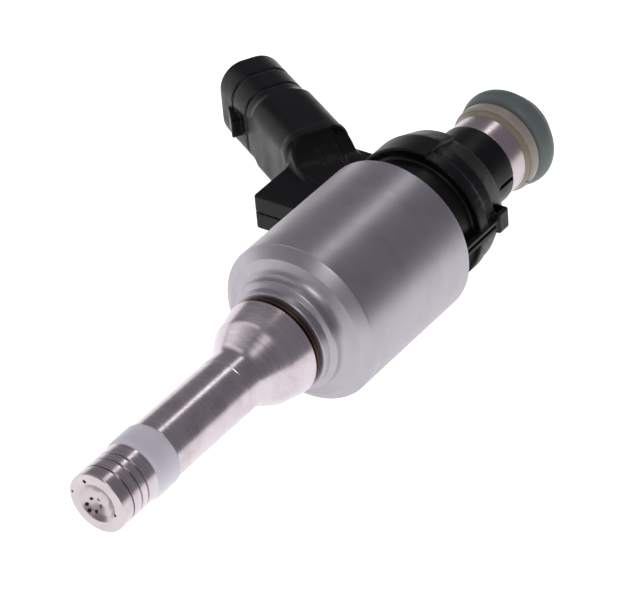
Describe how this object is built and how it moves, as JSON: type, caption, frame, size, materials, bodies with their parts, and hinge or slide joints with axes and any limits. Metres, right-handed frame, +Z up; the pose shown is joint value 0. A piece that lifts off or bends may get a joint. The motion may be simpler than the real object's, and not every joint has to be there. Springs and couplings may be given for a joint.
{
  "type": "fuel injector",
  "caption": "Petrol direct-injection fuel injector: grooved nozzle shank, solenoid can, moulded rear body with a leaning electrical connector, and a ringed fuel inlet.",
  "frame": {"origin": "on the injector's axis, in the plane where the can's conical shoulder meets its cylindrical wall", "axes": "+Y along the injector's axis from the nozzle tip to the fuel inlet, +Z up as the part lies on its can and connector, and the connector points to -X and a little down"},
  "size_m": [0.0462, 0.0852, 0.0206],
  "materials": {
    "tip_steel": "turned and ground",
    "nozzle_steel": "ground",
    "can_steel": "satin ground",
    "inlet_steel": "turned",
    "sleeve_steel": "turned",
    "guide_steel": "stamped",
    "needle_steel": "ground",
    "ball_steel": "lapped",
    "magnetic_steel": "turned",
    "spring_steel": "drawn wire",
    "spacer_metal": "blackened",
    "seal_plastic": "filled fluoropolymer",
    "winding_copper": "enamelled wire",
    "bobbin_plastic": "moulded",
    "support_plastic": "moulded",
    "backup_plastic": "moulded",
    "seal_rubber": "moulded",
    "filter_plastic": "moulded",
    "mesh_steel": "woven",
    "terminal_metal": "tin plated",
    "body_plastic": "moulded glass-filled nylon"
  },
  "bodies": {
    "injector_body": {"valve_seat": "tip_steel", "ball_guide": "guide_steel", "nozzle_tube": "nozzle_steel", "combustion_seal": "seal_plastic", "spacer_ring": "spacer_metal", "needle_guide": "guide_steel", "valve_sleeve": "sleeve_steel", "pole_core": "magnetic_steel", "closing_spring": "spring_steel", "adjusting_tube": "guide_steel", "solenoid_can": "can_steel", "coil_bobbin": "bobbin_plastic", "coil_winding": "winding_copper", "pole_cover": "magnetic_steel", "inlet_tube": "inlet_steel", "support_ring": "support_plastic", "backup_ring": "backup_plastic", "inlet_seal": "seal_rubber", "filter_frame": "filter_plastic", "filter_mesh": "mesh_steel", "terminal_upper": "terminal_metal", "terminal_lower": "terminal_metal", "overmould": "body_plastic"},
    "needle": {"needle_rod": "needle_steel", "valve_ball": "ball_steel", "lower_stop": "needle_steel", "upper_stop": "needle_steel"},
    "armature": {"armature": "magnetic_steel", "damping_spring": "spring_steel"}
  },
  "joints": [
    {"name": "needle_lift", "type": "slide", "parent": "injector_body", "child": "needle", "axis": [0, 1, 0], "range_m": [0, 0.00008], "stiffness_N_per_m": 1000, "springref_m": -0.001},
    {"name": "armature_float", "type": "slide", "parent": "needle", "child": "armature", "axis": [0, 1, 0], "range_m": [0, 0.00005], "stiffness_N_per_m": 300, "springref_m": -0.001}
  ]
}
